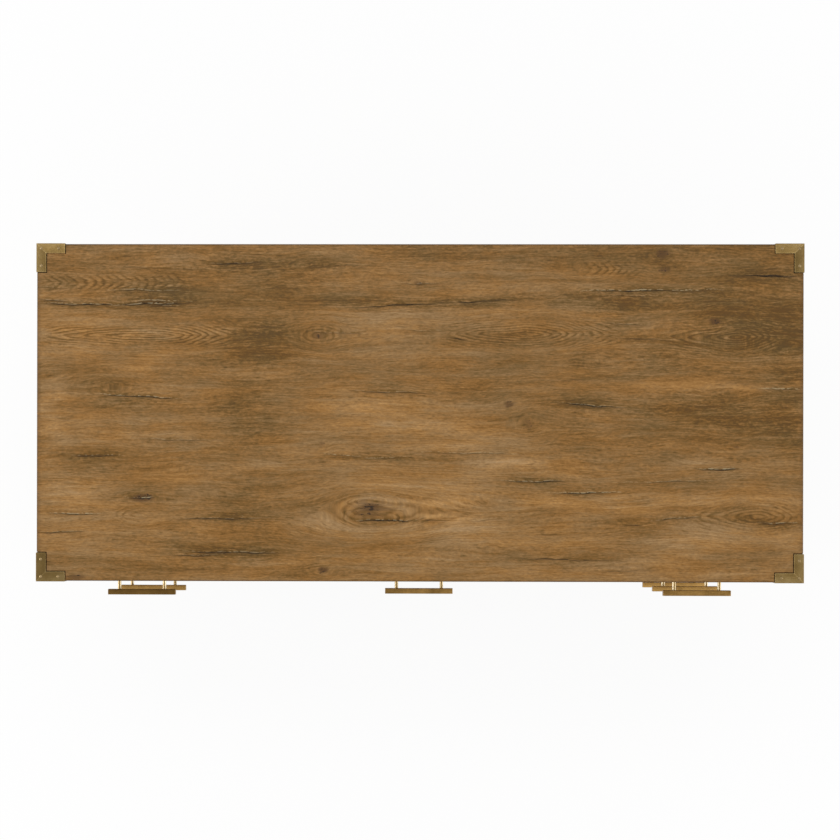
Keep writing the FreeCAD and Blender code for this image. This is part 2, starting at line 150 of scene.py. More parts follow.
oakLook = {
    "tones": ((0.0, "#593e15"), (0.19, "#694b1c"), (0.5, "#886334"), (0.785, "#a07948"), (1.0, "#b48c5a")),
    "warm": ((0.36, (0.92, 1.0, 1.21, 1.0)), (0.64, (1.08, 1.0, 0.82, 1.0))),
    "smoke": "#4a3717",
    "knot": "#4f3315",
    "speck": "#2c1c09",
    "crack": "#1f1509",
    # pale crumbs beside the cracks: wax and a painted highlight
    "glint": "#ab9874",
    "edge": "#4f361a",
    # noise layers. Real grain lines are nearer 1 mm apart, fibres and pores far finer still
    "layers": {
        "broad": (700, 130, 0.4, 2.0, 0.5),
        "bands": (420, 36, 1.3, 3.0, 0.55),
        "streak": (180, 10, 4.1, 3.0, 0.6),
        "fine": (80, 3.8, 7.7, 3.0, 0.65),
        "fibre": (24, 2.6, 9.2, 2.0, 0.6),
        "fleck": (7, 2.8, 10.6, 2.0, 0.5),
        "blot": (60, 26, 12.4, 3.0, 0.6),
        "tint": (150, 40, 18.3, 2.0, 0.5),
        "pore": (24, 1.7, 27.3, 1.0, 0.5),
    },
    "swayLayer": {"sway": (260, 60, 33.1, 2.0, 0.5)},
    "wanderLayer": {"wander": (80, 15, 15.8, 3.0, 0.55)},
    "splitLayers": {"split": (240, 5.0, 21.5, 1.0, 0.4), "rare": (320, 60, 24.9, 2.0, 0.5)},
    # how much each layer counts
    "toneWeights": {"broad": 0.36, "bands": 0.62, "streak": 0.52, "fine": 0.60, "fibre": 0.50, "fleck": 0.62},
    "hueWeights": {"tint": 0.6, "blot": 0.35, "fleck": 0.3, "fine": -0.3, "streak": -0.25},
    "wornWeights": {"blot": 1.0, "streak": 0.8},
    "frayWeights": {"streak": -0.2, "fine": -0.5, "fibre": -0.9, "fleck": -0.5},
    "filmWeights": {"bands": 1.5, "blot": 0.9, "streak": 0.6},
    "cloudWeights": {"streak": 0.8, "fibre": 1.0},
    "gritWeights": {"fleck": 1.1, "fibre": 0.8},
    "gapWeights": {"fine": 5.0, "fibre": 4.0},
    "swellWeights": {"streak": 3.4, "fleck": 2.6},
    "reliefWeights": {"fine": 0.5, "fibre": 0.4, "ring": -0.25, "cracked": -1.2},
    "roughWeights": {"fine": 0.16, "blot": 0.14, "cracked": 0.3},
    # from where to where each mask rises
    "wornFrom": (0.26, 0.54),
    "ringFrom": (0.35, 0.75),
    "poreFrom": (0.58, 0.70),
    "knotFrom": (0.1, 0.9, 0.0, 0.75),
    "heartFrom": (0.1, 0.4),
    "gritFrom": (0.25, 0.45),
    "crackFrom": (-0.1, 1.1),
    "coreFrom": (1.1, -0.9),
    "glintFrom": (1.7, 0.3),
    "crumbFrom": (0.44, 0.56),
    "filmFrom": (0.28, 1.15),
    "splitFrom": (0.335, 0.27),
    "rareFrom": (0.60, 0.68),
    "edgeFrom": (0.2, 0.6),
    "liftWeight": 0.47,
    "warmWeight": 0.13,
    "gritKnot": 0.34,
    "crackSwell": -0.25,
    "crackWidth": 1.3,
    "glintAside": 1.9,
    # growth rings: dark and pale share, mm apart, and how each line darkens over one ring
    "ringDark": 0.56,
    "ringLight": 0.14,
    "ringGap": 5.5,
    "ringWander": 1.8,
    "lateWood": ((0.0, 0.55), (0.14, 0.0), (0.5, 0.12), (0.86, 1.0), (1.0, 0.6)),
    "ringWaves": {"Distortion": 7.0, "Detail": 2.0, "Detail Scale": 0.12},
    # the pith's place over the board, how far it moves from one board to the next, and its tilt
    "pith": 0.021,
    "pithSteps": (1.0, 0.004, 0.013),
    "pithTilt": (0, 0.035, 0.05),
    "poreDark": 0.26,
    "sway": 34.0,
    "edgeWidth": 3.0,
    "roughness": 0.70,  # 0.55 on the wood and 0.85 in the cracks
    "shader": {"IOR": 1.5, "Specular IOR Level": 0.22},
    "bump": 0.30,
    "bumpDepth": 0.5,
}
# turns that bring a board's length to X, and what the top's mesh carries at each of its points
grainTurns = {"x": (0, 0, 0), "y": (0, 0, -math.pi / 2), "z": (0, math.pi / 2, 0)}
topFields = ("flow", "rings", "ringGain", "knot", "crack", "crackGap", "glint", "lift", "warmth", "edge")


def edgeShare(put, point, low, high, width):
    # nearness to the edges of a box: the second least of the three depths under its faces, against a width
    centre = [(a + b) / 2 for a, b in zip(low, high)]
    half = [(b - a) / 2 for a, b in zip(low, high)]
    spread = put("VectorMath ABSOLUTE", (put("VectorMath SUBTRACT", (point, centre)),))
    depth = put("VectorMath SUBTRACT", (half, spread))
    x, y, z = put("SeparateXYZ", (depth,)).node.outputs
    least = put("Math MINIMUM", (x, y))
    other = put("Math MINIMUM", (put("Math MAXIMUM", (x, y)), z))
    second = put("Math MAXIMUM", (least, other))
    return put("MapRange", (second, width * mm, 0.0), **smooth)


def weatheredOak(name, grain="x", seed=0.0, board=None, carved=False):
    # solid oak, wire brushed, stained brown and rubbed with dark wax: long soft bands, fine grain lines,
    # growth rings that open into cathedral arches, knots, and drying cracks with wax left in them and a
    # painted highlight on their lips
    look = oakLook
    material, put, coords = newMaterial(name)
    point = put("Mapping", {"Vector": coords, "Rotation": grainTurns[grain]})
    sway = noises(put, point, look["swayLayer"], seed)["sway"]  # the grain wanders a few mm to each side
    bend = put("Math MULTIPLY", (sway, look["sway"] * mm))
    if carved:  # the top has fields of its own, and the first parts the grain round its knots and arches
        own = {field: put("Attribute", out="Fac", attribute_name=field) for field in topFields}
        bend = put("Math ADD", (bend, own["flow"]))
    point = put("VectorMath ADD", (point, put("CombineXYZ", {"Y": bend})))
    layer = noises(put, point, look["layers"], seed)
    tone = weighted(put, 0.5, look["toneWeights"], layer)

    if carved:
        worn = weighted(put, 0.5, look["wornWeights"], layer)
        worn = put("MapRange", (worn, *look["wornFrom"]), **smooth)
        gain = put("Math MULTIPLY", (own["ringGain"], worn), use_clamp=True)
        wander = noises(put, point, look["wanderLayer"], seed)["wander"]
        count = put("Math MULTIPLY_ADD", (wander, look["ringWander"], own["rings"]))
        saw = put("Math FRACT", (count,))
    else:  # rings round a pith that runs a little askew through the board
        pith = np.array([0, look["pith"], 0]) + seed * np.array(look["pithSteps"])
        askew = put("Mapping", {"Vector": point, "Location": pith, "Rotation": look["pithTilt"]})
        scale = math.pi / 10 / (look["ringGap"] * mm)  # at scale 1 its rings are pi / 10 apart
        waves = {"Vector": askew, "Scale": scale, **look["ringWaves"]}
        saw = put("TexWave", waves, out="Fac", wave_type="RINGS", rings_direction="X", wave_profile="SAW")
        gain = put("MapRange", (layer["blot"], *look["ringFrom"]), **smooth)
    late = [(place, (level, level, level, 1.0)) for place, level in look["lateWood"]]
    layer["ring"] = put("Math MULTIPLY", (put("ValToRGB", (saw,), stops=late), gain))
    tone = put("Math MULTIPLY_ADD", (gain, look["ringLight"], tone))
    tone = put("Math MULTIPLY_ADD", (layer["ring"], -look["ringDark"], tone))
    pores = put("MapRange", (layer["pore"], *look["poreFrom"]), **smooth)
    tone = put("Math MULTIPLY_ADD", (pores, -look["poreDark"], tone))
    hue = weighted(put, 0.5, look["hueWeights"], layer)  # dark lines are a little redder
    if carved:  # patches where wax has stayed or worn away: the wax lies as denser dark fibres
        waxed = put("Math MINIMUM", (own["lift"], 0.0))
        fray = weighted(put, 0.0, look["frayWeights"], layer)
        tone = put("Math MULTIPLY_ADD", (own["lift"], look["liftWeight"], tone))
        tone = put("Math MULTIPLY_ADD", (waxed, fray, tone))
        hue = put("Math MULTIPLY_ADD", (own["warmth"], look["warmWeight"], hue))
    colour = put("ValToRGB", (tone,), stops=look["tones"])
    warm = put("ValToRGB", (hue,), stops=look["warm"])
    colour = put("Mix", {0: 1.0, 6: colour, 7: warm}, blend_type="MULTIPLY", **rgba)

    if carved:
        # a knot is a brown cloud, with black specks where its heart has checked
        cloud = put("Math ADD", (weighted(put, 0.0, look["cloudWeights"], layer), own["knot"]))
        cloud = put("MapRange", (cloud, *look["knotFrom"]), **smooth)
        grit = weighted(put, 0.0, look["gritWeights"], layer)
        grit = put("Math MULTIPLY_ADD", (own["knot"], look["gritKnot"], grit))
        grit = put("MapRange", (grit, *look["gritFrom"]), **smooth)
        heart = put("MapRange", (own["knot"], *look["heartFrom"]), **smooth)
        checked = put("Math MULTIPLY", (grit, heart))
        # a crack is dark where its middle line is near, by a width that swells and breaks along it
        gap = put("Math ADD", (weighted(put, 0.0, look["gapWeights"], layer), own["crackGap"]))
        swell = weighted(put, look["crackSwell"], look["swellWeights"], layer)
        width = put("Math MULTIPLY_ADD", (own["crack"], look["crackWidth"], swell))
        core = put("Math SUBTRACT", (put("Math ABSOLUTE", (gap,)), width))
        core = put("MapRange", (core, *look["coreFrom"]), **smooth)
        strength = put("MapRange", (own["crack"], *look["crackFrom"]), **smooth)
        cracked = put("Math MULTIPLY", (core, strength))
        # beside it lie pale crumbs: partly wax, partly a painted highlight on the crack's lip
        aside = put("Math ABSOLUTE", (put("Math SUBTRACT", (gap, look["glintAside"])),))
        aside = put("MapRange", (aside, *look["glintFrom"]), **smooth)
        crumbs = put("MapRange", (layer["fleck"], *look["crumbFrom"]), **smooth)
        crumbs = put("Math MULTIPLY", (put("Math MULTIPLY", (aside, crumbs)), own["glint"]))
        stains = [(cloud, "knot"), (checked, "speck"), (cracked, "crack"), (crumbs, "glint")]
        edge = own["edge"]
    else:
        film = weighted(put, 0.0, look["filmWeights"], layer)
        film = put("MapRange", (film, *look["filmFrom"]), **smooth)
        splits = noises(put, point, look["splitLayers"], seed)
        split = put("MapRange", (splits["split"], *look["splitFrom"]), **smooth)
        rare = put("MapRange", (splits["rare"], *look["rareFrom"]), **smooth)
        cracked = put("Math MULTIPLY", (split, rare))
        stains = [(film, "smoke"), (cracked, "crack")]
        edge = edgeShare(put, coords, *board, look["edgeWidth"]) if board else None
    if edge:
        broken = put("MapRange", (layer["fine"], *look["edgeFrom"]), **smooth)
        stains.append((put("Math MULTIPLY", (edge, broken)), "edge"))
    for share, stain in stains:
        colour = put("Mix", {0: share, 6: colour, 7: look[stain]}, **rgba)

    layer["cracked"] = cracked
    return surfaced(material, put, look, colour, layer)


brassLook = {
    "plate": ((0.0, "#4b3c21"), (0.5, "#6a5632"), (1.0, "#8a764f")),
    "pin": ((0.0, "#6a5837"), (0.5, "#857150"), (1.0, "#a08c68")),
    "bar": ((0.0, "#543e1e"), (0.5, "#74592f"), (1.0, "#b58f53")),
    # the posts' pale cream is a painted highlight on their flanks
    "post": ((0.0, "#8f7850"), (0.5, "#dccfb2"), (1.0, "#f3ede0")),
    "kindRoughness": {"plate": 0.34, "pin": 0.50, "bar": 0.42, "post": 0.26},
    "shader": {"Metallic": 1.0},
    "cloudLayers": {"clouds": (28, 28, 0.7, 4.0, 0.6), "specks": (3, 3, 6.1, 2.0, 0.5)},
    "brushLayer": {"brush": (30, 1.6, 3.9, 2.0, 0.6)},  # real brush lines are about 0.2 mm apart
    "toneWeights": {"clouds": 0.75, "brush": 0.28, "specks": 0.22},
    "roughWeights": {"clouds": -0.16, "brush": 0.14},
    "reliefWeights": {"brush": 0.5, "specks": 0.4},
    "upperFrom": (0.55, 1.0),
    "bump": 0.12,
    "bumpDepth": 0.2,
}


def antiqueBrass(name, kind, seed=0.0, lift=0.0, brushed="x", upper=0.0):
    # cast brass, brushed, darkened in a bath and relieved by hand: olive gold with browner clouds, fine brush
    # lines and a soft, broken shine
    look = brassLook
    material, put, coords = newMaterial(name)
    along = put("Mapping", {"Vector": coords, "Rotation": grainTurns[brushed]})
    layer = {**noises(put, coords, look["cloudLayers"], seed), **noises(put, along, look["brushLayer"], seed)}
    tone = weighted(put, 0.5 + lift, look["toneWeights"], layer)
    if kind == "plate":  # paler where hands have rubbed it, with painted highlights and reflection: the piece's own field
        tone = put("Math ADD", (tone, put("Attribute", out="Fac", attribute_name="rubAndSheen")))
    if upper:  # painted light: the upper side is painted darker or paler than the sides, as shade or light falls on it
        paintedTopShare = put("SeparateXYZ", (put("NewGeometry", out="Normal"),), out="Z")
        paintedTopShare = put("MapRange", (paintedTopShare, *look["upperFrom"]), **smooth)
        tone = put("Math MULTIPLY_ADD", (paintedTopShare, upper, tone))
    colour = put("ValToRGB", (tone,), stops=look[kind])
    look = {**look, "roughness": look["kindRoughness"][kind]}
    return surfaced(material, put, look, colour, layer)


birchLook = {
    "tones": ((0.0, "#a88456"), (0.4, "#c3a070"), (0.7, "#d0b082"), (1.0, "#dcc29a")),
    "layers": {  # real grain lines are under 1 mm apart
        "bands": (420, 22, 2.6, 3.0, 0.55),
        "fine": (70, 2.4, 5.3, 3.0, 0.6),
        "fleck": (9, 1.4, 8.8, 2.0, 0.5),
    },
    "toneWeights": {"bands": 0.7, "fine": 0.45, "fleck": 0.2},
    "roughWeights": {"fine": 0.15},
    "reliefWeights": {"fine": 1.0},
    "sideFrom": 0.7,
    "paleness": 0.55,
    "shader": {"IOR": 1.5},
    "roughness": 0.45,
    "bump": 0.10,
    "bumpDepth": 0.2,
}


def lacqueredBirch(name):
    # planed birch under clear lacquer: pale cream wood with faint long flecks, quiet and slightly glossy. The
    # grain runs along each board: front to back on the drawer sides, across on the other boards
    look = birchLook
    material, put, coords = newMaterial(name)
    inward = put("Mapping", {"Vector": coords, "Rotation": grainTurns["y"]})
    normal = put("VectorMath ABSOLUTE", (put("NewGeometry", out="True Normal"),))
    onSide = put("Math GREATER_THAN", (put("SeparateXYZ", (normal,)), look["sideFrom"]))
    point = put("Mix", {0: onSide, 4: coords, 5: inward}, out=1, data_type="VECTOR")
    layer = noises(put, point, look["layers"])
    tone = weighted(put, look["paleness"], look["toneWeights"], layer)
    colour = put("ValToRGB", (tone,), stops=look["tones"])
    return surfaced(material, put, look, colour, layer)


steelLook = {
    "tones": ((0.0, "#8f908e"), (0.5, "#aaaaa7"), (1.0, "#c3c3bf")),
    "layers": {"rolled": (60, 1.5, 1.9, 2.0, 0.6)},  # real rolling lines are far finer
    "cell": 7.0,
    "toneWeights": {"rolled": 0.8, "cell": 0.12},
    "roughWeights": {"rolled": 0.2, "cell": 0.05},
    "roughness": 0.34,
    "shader": {"Metallic": 1.0},
}


def zincSteel(name):
    # rolled steel strip, zinc plated: light grey with faint crystal patches and fine lines along the rolling
    look = steelLook
    material, put, coords = newMaterial(name)
    along = put("Mapping", {"Vector": coords, "Rotation": grainTurns["y"]})
    layer = noises(put, along, look["layers"])
    cells = put("TexVoronoi", {"Vector": coords, "Scale": 1 / (look["cell"] * mm)}, out="Color")
    layer["cell"] = put("SeparateColor", (cells,))
    colour = put("ValToRGB", (weighted(put, 0.5, look["toneWeights"], layer),), stops=look["tones"])
    return surfaced(material, put, look, colour, layer)


beechLook = {
    "tones": ((0.35, "#8f6440"), (0.5, "#b98c62"), (0.7, "#cba27a")),
    "layers": {"fleck": (6, 0.9, 3.2, 2.0, 0.6)},
    "roughWeights": {},
    "roughness": 0.6,
    "shader": {"IOR": 1.5},
}


def plainBeech(name):
    # steamed beech rod: pinkish tan with short dark flecks
    look = beechLook
    material, put, coords = newMaterial(name)
    point = put("Mapping", {"Vector": coords, "Rotation": grainTurns["z"]})
    layer = noises(put, point, look["layers"])
    colour = put("ValToRGB", (layer["fleck"],), stops=look["tones"])
    return surfaced(material, put, look, colour, layer)


nylonLook = {
    "tones": ((0.0, "#1d1916"), (0.6, "#2b2521"), (1.0, "#4a423b")),
    # real mould grain is about 0.1 mm
    "layers": {"grain": (0.8, 0.8, 4.4, 2.0, 0.5), "scuff": (9, 4, 7.5, 3.0, 0.6)},
    "toneWeights": {"grain": 0.3, "scuff": 0.9},
    "roughWeights": {"scuff": 0.3},
    "reliefWeights": {"grain": 1.0},
    "paleness": 0.4,
    "shader": {"IOR": 1.53},
    "roughness": 0.5,
    "bump": 0.15,
    "bumpDepth": 0.1,
}


def mouldedNylon(name):
    # injection moulded nylon, dark brown, scuffed by the floor: even and waxy with lighter rub marks
    look = nylonLook
    material, put, coords = newMaterial(name)
    layer = noises(put, coords, look["layers"])
    tone = weighted(put, look["paleness"], look["toneWeights"], layer)
    colour = put("ValToRGB", (tone,), stops=look["tones"])
    return surfaced(material, put, look, colour, layer)


# shapes

def gridFaces(rows, columns):  # quads of a grid whose points are counted row by row
    corner = (np.arange(rows - 1)[:, None] * columns + np.arange(columns - 1)[None, :]).ravel()
    return np.stack([corner, corner + 1, corner + columns + 1, corner + columns], axis=1)


def tubeFaces(rings, count):  # quads between closed rings whose points are counted ring by ring
    near = np.arange(count)
    far = (near + 1) % count
    first = np.arange(rings - 1)[:, None] * count
    second = first + count
    return np.stack([first + near, second + near, second + far, first + far], axis=2).reshape(-1, 4)


def turned(profile, sides):
    # rows of (radius, height) turned about the upright axis: x = r cos a, y = r sin a. The first row is the
    # upper end on the axis and the last row the lower end
    angle = np.arange(sides) * 2 * np.pi / sides
    radius, height = np.array(profile[1:-1], float).T
    rings = np.stack([np.outer(radius, np.cos(angle)), np.outer(radius, np.sin(angle)),
                      np.outer(height, np.ones(sides))], axis=2).reshape(-1, 3)
    points = np.concatenate([rings, [(0, 0, profile[0][1]), (0, 0, profile[-1][1])]])
    near = np.arange(sides)
    far = (near + 1) % sides
    upper = np.full(sides, len(rings))
    last = len(rings) - sides
    faces = tubeFaces(len(radius), sides).tolist()
    faces += np.stack([upper, near, far], axis=1).tolist()
    faces += np.stack([upper + 1, last + far, last + near], axis=1).tolist()
    return points, faces


def joined(shapes):  # several (points, faces) as one
    allPoints, allFaces, shift = [], [], 0
    for points, faces in shapes:
        allPoints.append(points)
        allFaces += [[corner + shift for corner in face] for face in faces]
        shift += len(points)
    return np.concatenate(allPoints), allFaces


def facing(points, axis):  # turn a shape's upright axis to the front (-Y) or the back (+Y)
    x, y, z = np.array(points).T
    return np.stack([x, -z, y] if axis == "front" else [x, z, -y], axis=1)


def placed(name, data):  # a new object in the scene
    thing = bpy.data.objects.new(name, data)
    bpy.context.scene.collection.objects.link(thing)
    return thing


def makePiece(name, points, faces, materials, body, replaced, sharpFrom, places=None):  # points in mm
    mesh = bpy.data.meshes.new(name)
    mesh.from_pydata((np.asarray(points) * mm).tolist(), [], faces)
    for material in materials:
        mesh.materials.append(material)
    if places is not None:  # which of the materials each face takes
        mesh.polygons.foreach_set("material_index", np.asarray(places, np.int32))
    mesh.polygons.foreach_set("use_smooth", np.ones(len(mesh.polygons), bool))
    mesh.set_sharp_from_angle(angle=math.radians(sharpFrom))
    piece = placed(name, mesh)
    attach(piece, body)
    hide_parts(*replaced)
    return piece


def giveField(piece, name, values):  # one number at each point, for the materials to read
    piece.data.attributes.new(name, "FLOAT", "POINT").data.foreach_set("value", values.astype(np.float32))


def boxOf(node):  # lowest and highest corner in mm
    low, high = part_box(node)
    return np.array(low) / mm, np.array(high) / mm


# desktop

